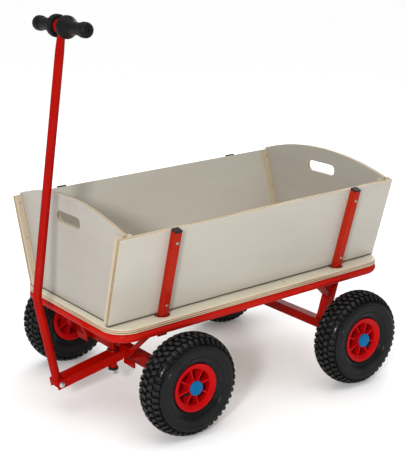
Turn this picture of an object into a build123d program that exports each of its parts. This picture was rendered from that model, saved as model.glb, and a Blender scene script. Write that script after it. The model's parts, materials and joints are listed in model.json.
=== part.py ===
from build123d import *
import os
from math import cos, radians, sin, sqrt, tan

os.makedirs("parts", exist_ok=True)

# Hand wagon in millimetres: +X is the pulling direction, +Y its left side, +Z up from the ground.
# Places are first worked out on a level wagon, from the middle of its deck and from a base line
# a little below its tyres. The wagon is then set down on its wheels, where it leans to the front,
# with the origin on the ground below its middle.

# Wheels
tyre_diameter = 260.0
tyre_width = 85.0
tyre_wall = 7.0
tread_width = 70.0  # between the shoulders
tread_drop = 11.0  # from the crown to the shoulders
tread_depth = 5.5  # of the grooves between the blocks
tread_base = 5.0  # rubber below the grooves
tread_pitches = 44  # blocks round the tyre in each row
tread_fill = 0.58  # share of a pitch that a block takes
tread_groove = 4.0  # between the rows
centre_row = 15.0  # widths of the rows
middle_row = 11.0
tread_reach = 0.8  # of the way up the sidewall, where the grooves run out
bead_width = 7.0
wheelbase = 563.0
wheel_track = 578.0
rim_seat_radius = 52.0
rim_seat_width = 54.0
rim_lip_radius = 61.0
rim_lip_flare = 2.5  # of the seat's edge up to the lip
rim_width = 66.0
rim_wall = 6.0
rim_web = 5.0
rim_rib_count = 8
rim_rib_thickness = 3.5
rim_rib_depth = 56.0
hub_radius = 20.0
hub_length = 64.0
bush_wall = 4.0
hub_cap_radius = 18.3
hub_cap_wall = 2.5
hub_cap_height = 6.5
valve_radius = 4.5
valve_length = 24.0
valve_offset = 32.0  # from the wheel's axis
valve_taper = 3.0  # degrees
front_left_turn = 12.0  # degrees that each wheel has rolled
front_right_turn = 20.0
rear_left_turn = 116.0
rear_right_turn = 65.0

# Axles
axle_diameter = 20.0
axle_beam_depth = 25.0
front_beam_height = 30.0
rear_beam_height = 26.0
axle_collar_length = 11.7  # between the ends of the beam and the hubs
tube_wall = 2.0
axle_collar_radius = 14.0
clip_radius = 15.0
clip_thickness = 2.0
axle_tip = 1.2  # past the clips

# Deck and frame
deck_length = 888.0
deck_width = 468.0
deck_thickness = 12.0
deck_corner_radius = 60.0
deck_edge_radius = 2.0
deck_height = 295.0  # top face
frame_tube = 25.0
frame_reach = 1.0  # of the tube past the deck's edge
drain_radius = 3.0
cross_tube = 22.0
front_axle_offset = 281.0  # ahead of the deck's middle
front_axle_height = 142.0
stance_lean = 2.4  # degrees that the deck falls to the front

# Box
board_thickness = 10.0
side_length = 880.0
side_height = 240.0  # measured up the slope
side_lean = 16.5  # degrees from upright
deck_border = 44.0  # deck left outside the outer bottom edge of each side
side_gap = 2.0  # above the deck
batten_depth = 15.0
batten_thickness = 10.0
slot_clearance = 0.5
end_board_lift = 0.3  # above the deck
end_shoulder_height = 240.0  # above the deck
end_arch_rise = 40.0
hand_hole_width = 112.0
hand_hole_height = 30.0
hand_hole_radius = 14.0
hand_hole_centre = 222.0  # above the deck

# Stakes
stake_size = 20.0
stake_wall = 2.0
stake_depth = 50.0  # below the foot of the side
stake_top = 240.0  # above the foot of the side
stake_clearance = 0.5
rear_stake_offset = 291.0  # behind the deck's middle
stake_cap_height = 4.0
stake_cap_plug = 14.0
socket_wall = 2.5
socket_floor = 3.0
deck_hole_diameter = 40.0
screw_head_radius = 4.5
screw_head_height = 2.2
screw_radius = 2.5
screw_upper = 212.0  # up the stake from the foot of the side
screw_lower = 34.0

# Rear knee braces
brace_width = 14.0
brace_foot_height = 200.0  # on the leg
brace_lead = 78.0  # of its head on the rail, ahead of the leg

# Steering
kingpin_lead = 32.0  # of the kingpin ahead of the front axle
kingpin_diameter = 14.0
kingpin_top = 238.0
kingpin_tip = 3.0  # below the nut
running_clearance = 0.05
face_clearance = 0.3
post_radius = 15.0
post_neck_radius = 9.0
post_neck_top = 172.0
sleeve_radius = 10.0
sleeve_top = 143.5
sleeve_bottom = 96.0
washer_radius = 15.0
washer_thickness = 2.5
pad_radius = 13.5
pad_thickness = 6.0
nut_radius = 13.0
nut_height = 11.0
gusset_thickness = 5.0
gusset_reach = 70.0
gusset_drop = 75.0
stop_thickness = 5.0
stop_lead = 19.0  # of the stops ahead of the kingpin
stop_bar_width = 12.0
stop_knee_y = 90.5
stop_knee_z = 157.0
stop_tab_length = 46.0
stop_tab_height = 18.0
stop_tab_rise = 5.0

# Drawbar
channel_width = 40.0
channel_height = 23.0
channel_sheet = 3.0
channel_slope = 9.5  # degrees, falling to the front
channel_nose = 10.0  # ahead of the pivot
channel_web_rise = 10.0  # of the web above the pivot
pivot_offset = 480.0  # ahead of the deck's middle
pivot_height = 100.0
pivot_bolt_diameter = 10.0
pivot_head_radius = 8.0
pivot_head_height = 6.0
barrel_radius = 12.0
barrel_side_clearance = 0.5
drawbar_tube = 22.0
drawbar_wall = 2.0
drawbar_knee_lead = 43.0  # ahead of the pivot
drawbar_knee_rise = 233.0  # above the pivot
drawbar_bend_radius = 90.0
drawbar_lean = 9.45  # degrees back from upright, above the knee
drawbar_neck_length = 60.0  # flattened stretch below the handle
drawbar_neck_depth = 16.0
notch_clearance = 0.6
handle_height = 985.0
handle_core_radius = 11.0
handle_hub_radius = 17.0
handle_hub_length = 26.0
grip_length = 106.0
grip_end_wall = 7.0
grip_guard_radius = 27.5
grip_guard_length = 15.0
grip_edge_radius = 6.0
grip_taper_length = 18.0
grip_waist_radius = 15.0
grip_knob_radius = 18.5
grip_knob_length = 22.0
grip_vent_radius = 2.5

# Places worked out from the sizes above
stance = radians(stance_lean)
lean = radians(side_lean)
slope = radians(channel_slope)
deck_underside = deck_height - deck_thickness
frame_height = deck_underside - frame_tube / 2
frame_half_length = deck_length / 2 + frame_reach - frame_tube / 2
frame_half_width = deck_width / 2 + frame_reach - frame_tube / 2
frame_corner_radius = deck_corner_radius + frame_reach - frame_tube / 2
cross_underside = frame_height - cross_tube / 2
front_axle_x = front_axle_offset
rear_axle_x = front_axle_x - wheelbase
rear_axle_height = front_axle_height - wheelbase * tan(stance)
rear_beam_top = rear_axle_height + rear_beam_height / 2
axle_half_length = wheel_track / 2 + hub_length / 2 + face_clearance + clip_thickness + axle_tip
axle_beam_length = wheel_track - hub_length - 2 * face_clearance - 2 * axle_collar_length
socket_bore = stake_size + 2 * stake_clearance
socket_size = socket_bore + 2 * socket_wall
kingpin_x = front_axle_x + kingpin_lead
front_stake_x = kingpin_x - (cross_tube + socket_size) / 2
rear_stake_x = -rear_stake_offset
rear_cross_x = rear_stake_x + (cross_tube + socket_size) / 2
washer_bottom = sleeve_top + face_clearance
post_bottom = washer_bottom + washer_thickness
pad_top = sleeve_bottom - face_clearance
nut_top = pad_top - pad_thickness
kingpin_bottom = nut_top - nut_height - kingpin_tip
side_foot_width = deck_width - 2 * deck_border  # across the outer bottom edges of the two sides
side_foot_y = side_foot_width / 2
side_foot_z = deck_height + side_gap
slot_width = board_thickness + 2 * slot_clearance
pivot_x = pivot_offset
knee = (pivot_x + drawbar_knee_lead, pivot_height + drawbar_knee_rise)
handle_x = knee[0] - (handle_height - knee[1]) * tan(radians(drawbar_lean))

# Setting down: turned nose down, with the front axle at the tyres' radius and the middle over the origin
rear_end = -frame_half_length * cos(stance) + frame_height * sin(stance) - frame_tube / 2
front_end = knee[0] * cos(stance) + knee[1] * sin(stance) + drawbar_tube / 2
ground_drop = front_axle_height * cos(stance) - front_axle_x * sin(stance) - tyre_diameter / 2
set_down = Location((-(rear_end + front_end) / 2, 0, -ground_drop), (0, stance_lean, 0))


def side_plane(side, x=0.0, out=0.0, up=0.0):
    """Plane in the outer face of a side board: its x runs along the wagon, its y up the slope."""
    up_slope = Vector(0, side * sin(lean), cos(lean))
    outward = Vector(0, side * cos(lean), -sin(lean))
    foot = Vector(x, side * side_foot_y, side_foot_z)
    return Plane(foot + outward * out + up_slope * up, x_dir=(-side, 0, 0), z_dir=tuple(outward))


def stake_plane(side, x, up):
    """Plane square to a stake's axis, at a height up the slope."""
    board = side_plane(side, x, stake_size / 2, up)
    return Plane(board.origin, x_dir=(1, 0, 0), z_dir=tuple(board.y_dir))


def finish(builder, name, place=Location()):
    """Moves a piece to its place, sets it down with the wagon and writes it."""
    piece = builder.part.moved(set_down * place)
    piece.label = name
    export_step(piece, f"parts/{name}.step")


# Frame: a ring of round tube under the rim of the deck
ring_corners = [
    (along * frame_half_length, across * frame_half_width)
    for along, across in ((1, 1), (-1, 1), (-1, -1), (1, -1))
]
with BuildLine(Plane.XY.offset(frame_height)) as ring_path:
    FilletPolyline(*ring_corners, radius=frame_corner_radius, close=True)
ring_wire = ring_path.wire()
ring_section = Plane(ring_wire @ 0, z_dir=ring_wire % 0)

with BuildPart() as ring_round:  # the ring's full round, which the tubes that meet it are cut to
    with BuildSketch(ring_section):
        Circle(frame_tube / 2)
    sweep(path=ring_wire)

with BuildPart() as frame_ring:
    with BuildSketch(ring_section):
        Circle(frame_tube / 2)
        Circle(frame_tube / 2 - tube_wall, mode=Mode.SUBTRACT)
    sweep(path=ring_wire)
    with BuildSketch(Plane((-frame_half_length, 0, frame_height))):
        Circle(drain_radius)
    extrude(amount=-frame_tube, mode=Mode.SUBTRACT)
finish(frame_ring, "frame_ring")


def cross_member(name, x):
    """Square tube across the ring, its ends cut to the ring's round tube."""
    with BuildPart() as member:
        with BuildSketch(Plane((x, -frame_half_width, frame_height), x_dir=(1, 0, 0), z_dir=(0, 1, 0))):
            Rectangle(cross_tube, cross_tube)
            Rectangle(cross_tube - 2 * tube_wall, cross_tube - 2 * tube_wall, mode=Mode.SUBTRACT)
        extrude(amount=2 * frame_half_width)
        add(ring_round.part, mode=Mode.SUBTRACT)
    finish(member, name)


cross_member("front_cross_tube", kingpin_x)
cross_member("rear_cross_tube", rear_cross_x)


def stake_up(z):
    """Distance up a stake's axis at which it reaches a height."""
    return (z - side_foot_z + stake_size / 2 * sin(lean)) / cos(lean)


def stake_y(z):
    """Distance of a stake's axis from the wagon's middle at a height."""
    return side_foot_y + stake_size / 2 * cos(lean) + stake_up(z) * sin(lean)


# Deck board, lying on the ring, with round holes that the stakes pass through
with BuildPart() as deck_plate:
    with BuildSketch(Plane.XY.offset(deck_underside)):
        RectangleRounded(deck_length, deck_width, deck_corner_radius)
        hole_y = stake_y(deck_height - deck_thickness / 2)
        with Locations(*[(x, side * hole_y) for x in (front_stake_x, rear_stake_x) for side in (1, -1)]):
            Circle(deck_hole_diameter / 2, mode=Mode.SUBTRACT)
    extrude(amount=deck_thickness)
    fillet(deck_plate.faces().sort_by(Axis.Z)[-1].outer_wire().edges(), deck_edge_radius)
finish(deck_plate, "deck_plate")

# Short square sockets for the front stakes, closed below, against the front cross tube
socket_foot = -stake_depth - socket_floor
with BuildPart() as front_sockets:
    for side in (1, -1):
        with BuildSketch(stake_plane(side, front_stake_x, socket_foot)):
            Rectangle(socket_size, socket_size)
        extrude(amount=-socket_foot)
        with BuildSketch(stake_plane(side, front_stake_x, -stake_depth)):
            Rectangle(socket_bore, socket_bore)
        extrude(amount=2 * stake_depth, mode=Mode.SUBTRACT)
    split(bisect_by=Plane.XY.offset(deck_underside), keep=Keep.BOTTOM)
finish(front_sockets, "front_sockets")

# Rear legs: the rear stakes' sockets, carried on down to the rear axle beam as hollow tubes
leg_foot = stake_up(rear_beam_top) - socket_size
with BuildPart() as rear_legs:
    for side in (1, -1):
        with BuildSketch(stake_plane(side, rear_stake_x, leg_foot)):
            Rectangle(socket_size, socket_size)
        extrude(amount=-leg_foot)
        with BuildSketch(stake_plane(side, rear_stake_x, -stake_depth)):
            Rectangle(socket_bore, socket_bore)
        extrude(amount=2 * stake_depth, mode=Mode.SUBTRACT)
        with BuildSketch(stake_plane(side, rear_stake_x, socket_foot)):
            Rectangle(socket_bore, socket_bore)
        extrude(amount=leg_foot - socket_foot, mode=Mode.SUBTRACT)
    split(bisect_by=Plane.XY.offset(deck_underside), keep=Keep.BOTTOM)
    split(bisect_by=Plane.XY.offset(rear_beam_top), keep=Keep.TOP)
finish(rear_legs, "rear_legs")

# Knee braces from the rails down to the front faces of the rear legs
with BuildPart() as rear_braces:
    for side in (1, -1):
        foot = Vector(rear_stake_x, side * stake_y(brace_foot_height), brace_foot_height)
        head = Vector(rear_stake_x + socket_size / 2 + brace_lead, side * frame_half_width, frame_height)
        with BuildSketch(Plane(foot, x_dir=(0, 1, 0), z_dir=tuple(head - foot))):
            Rectangle(brace_width, brace_width)
        extrude(amount=(head - foot).length)
        with BuildSketch(stake_plane(side, rear_stake_x, leg_foot)):
            Rectangle(socket_size, socket_size)
        extrude(amount=-leg_foot, mode=Mode.SUBTRACT)
    add(ring_round.part, mode=Mode.SUBTRACT)
finish(rear_braces, "rear_braces")


def axle(end, x, height, beam_height):
    """Rectangular beam from wheel to wheel, the rod through it and the spring clips on the rod's ends."""
    across = Plane((x, 0, height), x_dir=(1, 0, 0), z_dir=(0, 1, 0))
    with BuildPart() as beam:
        with BuildSketch(across):
            Rectangle(axle_beam_depth, beam_height)
            Rectangle(axle_beam_depth - 2 * tube_wall, beam_height - 2 * tube_wall, mode=Mode.SUBTRACT)
        extrude(amount=axle_beam_length / 2, both=True)
    finish(beam, f"{end}_axle_beam")

    beam_end = axle_beam_length / 2
    collar_planes = (across.offset(beam_end), across.offset(-beam_end - axle_collar_length))
    with BuildPart() as rod:
        with BuildSketch(across):
            Circle(axle_diameter / 2)
        extrude(amount=axle_half_length, both=True)
        with BuildSketch(*collar_planes):
            Circle(axle_collar_radius)
        extrude(amount=axle_collar_length)
    finish(rod, f"{end}_axle_rod")

    clip_start = wheel_track / 2 + hub_length / 2 + face_clearance
    with BuildPart() as clips:
        with BuildSketch(across.offset(clip_start), across.offset(-clip_start - clip_thickness)):
            Circle(clip_radius)
            Circle(axle_diameter / 2, mode=Mode.SUBTRACT)
        extrude(amount=clip_thickness)
    finish(clips, f"{end}_axle_clips")


axle("front", front_axle_x, front_axle_height, front_beam_height)
axle("rear", rear_axle_x, rear_axle_height, rear_beam_height)


def upright(height):
    """Level plane on the kingpin's axis."""
    return Plane((kingpin_x, 0, height))


# Post under the front cross tube that holds the kingpin
with BuildPart() as kingpin_post:
    with BuildSketch(upright(post_neck_top)):
        Circle(post_radius)
    extrude(amount=cross_underside - post_neck_top)
    with BuildSketch(upright(post_bottom)):
        Circle(post_neck_radius)
    extrude(amount=post_neck_top - post_bottom)
    with BuildSketch(upright(post_bottom)):
        Circle(kingpin_diameter / 2)
    extrude(amount=kingpin_top - post_bottom, mode=Mode.SUBTRACT)
finish(kingpin_post, "kingpin_post")

# Three-cornered plates that stiffen the post against the cross tube
with BuildPart() as post_gussets:
    for side in (1, -1):
        with BuildSketch(Plane.YZ.offset(kingpin_x)):
            with BuildLine():
                inner = side * (post_radius + kingpin_diameter / 2) / 2
                outer = side * (post_radius + gusset_reach)
                Polyline(
                    (inner, cross_underside),
                    (outer, cross_underside),
                    (inner, cross_underside - gusset_drop),
                    close=True,
                )
            make_face()
        extrude(amount=gusset_thickness / 2, both=True)
    add(kingpin_post.part, mode=Mode.SUBTRACT)
finish(post_gussets, "post_gussets")

with BuildPart() as kingpin:
    with BuildSketch(upright(kingpin_bottom)):
        Circle(kingpin_diameter / 2)
    extrude(amount=kingpin_top - kingpin_bottom)
finish(kingpin, "kingpin")

with BuildPart() as kingpin_washer:
    with BuildSketch(upright(washer_bottom)):
        Circle(washer_radius)
        Circle(kingpin_diameter / 2, mode=Mode.SUBTRACT)
    extrude(amount=washer_thickness)
finish(kingpin_washer, "kingpin_washer")

with BuildPart() as kingpin_pad:
    with BuildSketch(upright(pad_top - pad_thickness)):
        Circle(pad_radius)
        Circle(kingpin_diameter / 2, mode=Mode.SUBTRACT)
    extrude(amount=pad_thickness)
finish(kingpin_pad, "kingpin_pad")

with BuildPart() as kingpin_nut:
    with BuildSketch(upright(nut_top - nut_height)):
        RegularPolygon(nut_radius, 6)
        Circle(kingpin_diameter / 2, mode=Mode.SUBTRACT)
    extrude(amount=nut_height)
finish(kingpin_nut, "kingpin_nut")

# Steering stops: bars that slant in from the rails to tabs ahead of the front axle beam
with BuildPart() as steering_stops:
    for side in (1, -1):
        knee_point = Vector(side * stop_knee_y, stop_knee_z)
        rail_point = Vector(side * frame_half_width, frame_height)
        half_bar = (rail_point - knee_point).normalized().rotate(Axis.Z, 90) * (stop_bar_width / 2)
        tab_end = knee_point + Vector(side * stop_tab_length, stop_tab_rise)
        with BuildSketch(Plane.YZ.offset(kingpin_x + stop_lead)):
            with BuildLine():
                Polyline(
                    knee_point - half_bar,
                    rail_point - half_bar,
                    rail_point + half_bar,
                    knee_point + half_bar,
                    close=True,
                )
            make_face()
            with BuildLine():
                Polyline(
                    knee_point,
                    tab_end,
                    tab_end - Vector(0, stop_tab_height),
                    knee_point - Vector(0, stop_tab_height - stop_tab_rise),
                    close=True,
                )
            make_face()
        extrude(amount=stop_thickness)
    add(ring_round.part, mode=Mode.SUBTRACT)
finish(steering_stops, "steering_stops")

# Drawbar channel: folded sheet, open below, that falls from the front beam to the drawbar's pivot
channel_back = Vector(-cos(slope), 0, sin(slope))
channel_up = Vector(sin(slope), 0, cos(slope))
pivot_point = Vector(pivot_x, 0, pivot_height)
nose_point = pivot_point - channel_back * channel_nose + channel_up * channel_web_rise
channel_length = channel_nose + (pivot_x - front_axle_x) / cos(slope)
notch_length = channel_nose + barrel_radius + notch_clearance
pivot_plane = Plane(pivot_point, x_dir=(1, 0, 0), z_dir=(0, 1, 0))
with BuildPart() as drawbar_channel:
    with BuildSketch(Plane(nose_point, x_dir=(0, 1, 0), z_dir=tuple(channel_back))):
        with Locations((0, channel_height / 2)):
            Rectangle(channel_width, channel_height)
        with Locations((0, channel_height / 2 + channel_sheet)):
            Rectangle(channel_width - 2 * channel_sheet, channel_height, mode=Mode.SUBTRACT)
    extrude(amount=channel_length)
    with BuildSketch(Plane(nose_point, x_dir=tuple(channel_back), z_dir=tuple(channel_up))):
        with Locations((notch_length / 2, 0)):
            Rectangle(notch_length, channel_width - 2 * channel_sheet)
    extrude(amount=-channel_sheet, mode=Mode.SUBTRACT)
    with BuildSketch(pivot_plane):
        Circle(pivot_bolt_diameter / 2)
    extrude(amount=channel_width, both=True, mode=Mode.SUBTRACT)
    with BuildSketch(upright(sleeve_bottom)):
        Circle(sleeve_radius)
    extrude(amount=sleeve_top - sleeve_bottom, mode=Mode.SUBTRACT)
    with BuildSketch(Plane((front_axle_x, 0, front_axle_height), x_dir=(1, 0, 0), z_dir=(0, 1, 0))):
        Rectangle(axle_beam_depth, 2 * front_beam_height)
    extrude(amount=channel_width, both=True, mode=Mode.SUBTRACT)
finish(drawbar_channel, "drawbar_channel")

# Sleeve through the channel's web, turning on the kingpin
with BuildPart() as steering_sleeve:
    with BuildSketch(upright(sleeve_bottom)):
        Circle(sleeve_radius)
        Circle(kingpin_diameter / 2 + running_clearance, mode=Mode.SUBTRACT)
    extrude(amount=sleeve_top - sleeve_bottom)
finish(steering_sleeve, "steering_sleeve")

with BuildPart() as pivot_bolt:
    with BuildSketch(pivot_plane.offset(-channel_width / 2 - pivot_head_height)):
        Circle(pivot_bolt_diameter / 2)
    extrude(amount=channel_width + pivot_head_height)
    with BuildSketch(pivot_plane.offset(channel_width / 2)):
        RegularPolygon(pivot_head_radius, 6)
    extrude(amount=pivot_head_height)
finish(pivot_bolt, "pivot_bolt")

with BuildPart() as pivot_nut:
    with BuildSketch(pivot_plane.offset(-channel_width / 2 - pivot_head_height)):
        RegularPolygon(pivot_head_radius, 6)
        Circle(pivot_bolt_diameter / 2, mode=Mode.SUBTRACT)
    extrude(amount=pivot_head_height)
finish(pivot_nut, "pivot_nut")

# Barrel at the foot of the drawbar, turning on the pivot bolt
barrel_length = channel_width - 2 * channel_sheet - 2 * barrel_side_clearance
with BuildPart() as drawbar_barrel:
    with BuildSketch(pivot_plane):
        Circle(barrel_radius)
        Circle(pivot_bolt_diameter / 2 + running_clearance, mode=Mode.SUBTRACT)
    extrude(amount=barrel_length / 2, both=True)
finish(drawbar_barrel, "drawbar_barrel")

# Drawbar: a tube bent at the knee, flattened to a neck below the handle
handle_point = Vector(handle_x, 0, handle_height)
upper_run = Vector(-sin(radians(drawbar_lean)), 0, cos(radians(drawbar_lean)))
neck_point = handle_point - upper_run * drawbar_neck_length
handle_plane = Plane(handle_point, x_dir=(1, 0, 0), z_dir=(0, 1, 0))
with BuildPart() as drawbar:
    with BuildLine(Plane.XZ) as drawbar_path:
        FilletPolyline(
            (pivot_x, pivot_height), knee, (neck_point.X, neck_point.Z), radius=drawbar_bend_radius
        )
    drawbar_wire = drawbar_path.wire()
    with BuildSketch(Plane(drawbar_wire @ 0, x_dir=(0, 1, 0), z_dir=drawbar_wire % 0)):
        Circle(drawbar_tube / 2)
        Circle(drawbar_tube / 2 - drawbar_wall, mode=Mode.SUBTRACT)
    sweep(path=drawbar_wire)
    with BuildSketch(Plane(neck_point, x_dir=(0, 1, 0), z_dir=tuple(upper_run))):
        Circle(drawbar_tube / 2)
    with BuildSketch(Plane(handle_point, x_dir=(0, 1, 0), z_dir=tuple(upper_run))):
        Ellipse(drawbar_tube / 2, drawbar_neck_depth / 2)
    loft()
    with BuildSketch(handle_plane):
        Circle(handle_hub_radius)
    extrude(amount=drawbar_tube, both=True, mode=Mode.SUBTRACT)
    with BuildSketch(pivot_plane):
        Circle(barrel_radius)
    extrude(amount=drawbar_tube, both=True, mode=Mode.SUBTRACT)
finish(drawbar, "drawbar")

# Cross handle: a thick hub on the drawbar with a thinner core for the grips
core_half_length = handle_hub_length / 2 + grip_length - grip_end_wall
with BuildPart() as handle_bar:
    with BuildSketch(handle_plane):
        Circle(handle_core_radius)
    extrude(amount=core_half_length, both=True)
    with BuildSketch(handle_plane):
        Circle(handle_hub_radius)
    extrude(amount=handle_hub_length / 2, both=True)
finish(handle_bar, "handle_bar")

# Grips: a guard beside the hub, a waist for the hand and a knob with an air hole at the end
grip_start = handle_hub_length / 2
grip_end = grip_start + grip_length
waist_start = grip_start + grip_guard_length + grip_taper_length
knob_start = grip_end - grip_knob_length
knob_flare = grip_knob_length / 2
with BuildPart() as grips:
    with BuildSketch(Plane(handle_point)):
        with BuildLine():
            FilletPolyline(
                (handle_core_radius, grip_start),
                (grip_guard_radius, grip_start),
                (grip_guard_radius, grip_start + grip_guard_length),
                (grip_waist_radius, waist_start),
                (grip_waist_radius, knob_start - knob_flare),
                (grip_knob_radius, knob_start),
                (grip_knob_radius, grip_end),
                (grip_vent_radius, grip_end),
                radius=(
                    grip_edge_radius,
                    grip_edge_radius,
                    grip_taper_length / 2,
                    grip_knob_length,
                    grip_knob_length / 2,
                    grip_knob_length / 2,
                ),
            )
            Polyline(
                (grip_vent_radius, grip_end),
                (grip_vent_radius, grip_end - grip_end_wall),
                (handle_core_radius, grip_end - grip_end_wall),
                (handle_core_radius, grip_start),
            )
        make_face()
    revolve(axis=Axis(handle_point, (0, 1, 0)))
    mirror(about=Plane.XZ)
finish(grips, "grips")

# Wheel pieces about the origin, with the outer side towards +Y
tyre_radius = tyre_diameter / 2
seat_half = rim_seat_width / 2
lip_foot = seat_half + rim_lip_flare
shoulder = (tyre_radius - tread_drop, tread_width / 2)
crown_round = (shoulder[1] ** 2 + tread_drop**2) / (2 * tread_drop)
bulge_radius = (rim_lip_radius + shoulder[0]) / 2
inner_foot = (rim_lip_radius, lip_foot - bead_width)


def tread_point(across, drop=0.0):
    """Point of the tyre's section at a place across the tread, sunk below the crown's round."""
    return (tyre_radius - crown_round + sqrt(crown_round**2 - across**2) - drop, across)


def other_half(points):
    """The same points on the other half of the tyre's section, in turned order."""
    return [(radius, -across) for radius, across in reversed(points)]


with BuildLine() as sidewall:
    ThreePointArc((rim_lip_radius, lip_foot), (bulge_radius, tyre_width / 2), shoulder)
tread_end = tuple(sidewall.line @ tread_reach)[:2]
wall_middle = tuple(sidewall.line @ (tread_reach / 2))[:2]
centre_edge = centre_row / 2
middle_start = centre_edge + tread_groove
middle_end = middle_start + middle_row
shoulder_start = middle_end + tread_groove
groove_floor = [
    tread_point(centre_edge, tread_depth),
    tread_point(middle_end, tread_depth),
    tread_point(shoulder[1] - tread_depth / 2, tread_depth),
]
hollow = [(radius - tread_base, across) for radius, across in groove_floor]
block_root = tread_depth + tread_base / 2
centre_block = [tread_point(centre_edge, block_root), (tyre_radius, centre_edge)]
middle_block = [
    tread_point(middle_start, block_root),
    tread_point(middle_start),
    tread_point(middle_end),
    tread_point(middle_end, block_root),
]
shoulder_block = [
    tread_point(shoulder_start, block_root),
    tread_point(shoulder_start),
    shoulder,
    tread_end,
    tread_point(shoulder[1] - tread_depth / 2, block_root),
]
# rows that start together, and the rows between them that start half a pitch on
even_blocks = [centre_block + other_half(centre_block), shoulder_block, other_half(shoulder_block)]
odd_blocks = [middle_block, other_half(middle_block)]
tread_pitch = 360 / tread_pitches
with BuildPart() as tyre:
    with BuildSketch():
        with BuildLine():
            Polyline(*other_half(groove_floor + [tread_end]), *groove_floor, tread_end)
            Polyline(*other_half(hollow), *hollow)
            for side in (1, -1):
                ThreePointArc(
                    (tread_end[0], side * tread_end[1]),
                    (wall_middle[0], side * wall_middle[1]),
                    (rim_lip_radius, side * lip_foot),
                )
                Polyline(
                    (rim_lip_radius, side * lip_foot),
                    (rim_seat_radius, side * seat_half),
                    (rim_seat_radius, side * (seat_half - bead_width)),
                    (inner_foot[0], side * inner_foot[1]),
                )
                ThreePointArc(
                    (inner_foot[0], side * inner_foot[1]),
                    (bulge_radius, side * (tyre_width / 2 - tyre_wall)),
                    (hollow[-1][0], side * hollow[-1][1]),
                )
        make_face()
    revolve(axis=Axis.Y)
    for start, outlines in ((0, even_blocks), (0.5, odd_blocks)):
        turns = [(start + index) * tread_pitch for index in range(tread_pitches)]
        with BuildSketch(*[Plane.XY.rotated((0, turn, 0)) for turn in turns]):
            for outline in outlines:
                with BuildLine():
                    Polyline(*outline, close=True)
                make_face()
        revolve(axis=Axis.Y, revolution_arc=tread_fill * tread_pitch)

bush_radius = axle_diameter / 2 + running_clearance + bush_wall
barrel_inside = rim_seat_radius - rim_wall
with BuildPart() as rim:
    with BuildSketch():
        with BuildLine():
            Polyline(
                (rim_seat_radius, seat_half),
                (rim_lip_radius, lip_foot),
                (rim_lip_radius, rim_width / 2),
                (rim_lip_radius - rim_wall, rim_width / 2),
                (barrel_inside, seat_half),
                (barrel_inside, rim_web / 2),
                (hub_radius, rim_web / 2),
                (hub_radius, hub_length / 2),
                (bush_radius, hub_length / 2),
                (bush_radius, -hub_length / 2),
                (hub_radius, -hub_length / 2),
                (hub_radius, -rim_web / 2),
                (barrel_inside, -rim_web / 2),
                (barrel_inside, -seat_half),
                (rim_lip_radius - rim_wall, -rim_width / 2),
                (rim_lip_radius, -rim_width / 2),
                (rim_lip_radius, -lip_foot),
                (rim_seat_radius, -seat_half),
                close=True,
            )
        make_face()
    revolve(axis=Axis.Y)
    with BuildSketch(Plane((0, -rim_rib_depth / 2, 0), x_dir=(1, 0, 0), z_dir=(0, 1, 0))):
        rib_start = (hub_radius + bush_radius) / 2
        rib_end = barrel_inside + rim_wall / 2
        with PolarLocations((rib_start + rib_end) / 2, rim_rib_count):
            Rectangle(rib_end - rib_start, rim_rib_thickness)
    extrude(amount=rim_rib_depth)

with BuildPart() as hub_bush:
    with BuildSketch(Plane((0, -hub_length / 2, 0), x_dir=(1, 0, 0), z_dir=(0, 1, 0))):
        Circle(bush_radius)
        Circle(axle_diameter / 2 + running_clearance, mode=Mode.SUBTRACT)
    extrude(amount=hub_length)

cap_base = hub_length / 2
cap_inside = cap_base + hub_cap_height - hub_cap_wall
with BuildPart() as hub_cap:
    with BuildSketch():
        with BuildLine():
            Polyline(
                (0, cap_inside),
                (hub_cap_radius - hub_cap_wall, cap_inside),
                (hub_cap_radius - hub_cap_wall, cap_base),
                (hub_cap_radius, cap_base),
                (hub_cap_radius, cap_inside),
            )
            ThreePointArc(
                (hub_cap_radius, cap_inside),
                (hub_cap_radius - hub_cap_wall / 2, cap_inside + hub_cap_wall / 2),
                (hub_cap_radius - hub_cap_wall, cap_inside + hub_cap_wall * 3 / 4),
            )
            Polyline(
                (hub_cap_radius - hub_cap_wall, cap_inside + hub_cap_wall * 3 / 4),
                (0, cap_base + hub_cap_height),
                (0, cap_inside),
            )
        make_face()
    revolve(axis=Axis.Y)

valve_turn = 360 / rim_rib_count / 2
with BuildPart() as valve:
    with BuildSketch(Plane((0, rim_web / 2, 0), x_dir=(1, 0, 0), z_dir=(0, 1, 0))):
        with PolarLocations(valve_offset, 1, start_angle=valve_turn):
            Circle(valve_radius)
    extrude(amount=valve_length, taper=valve_taper)

wheel_pieces = {"tyre": tyre, "rim": rim, "hub_bush": hub_bush, "hub_cap": hub_cap, "valve": valve}
wheels = {
    "front_left": (front_axle_x, front_axle_height, 1, front_left_turn),
    "front_right": (front_axle_x, front_axle_height, -1, front_right_turn),
    "rear_left": (rear_axle_x, rear_axle_height, 1, rear_left_turn),
    "rear_right": (rear_axle_x, rear_axle_height, -1, rear_right_turn),
}
for wheel, (x, height, side, turn) in wheels.items():
    hub = Location((x, side * wheel_track / 2, height))
    facing = Location((0, 0, 0), (0, 0, 90 - 90 * side))
    rolled = Location((0, 0, 0), (0, turn, 0))
    for piece, builder in wheel_pieces.items():
        finish(builder, f"{wheel}_{piece}", hub * facing * rolled)

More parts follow.
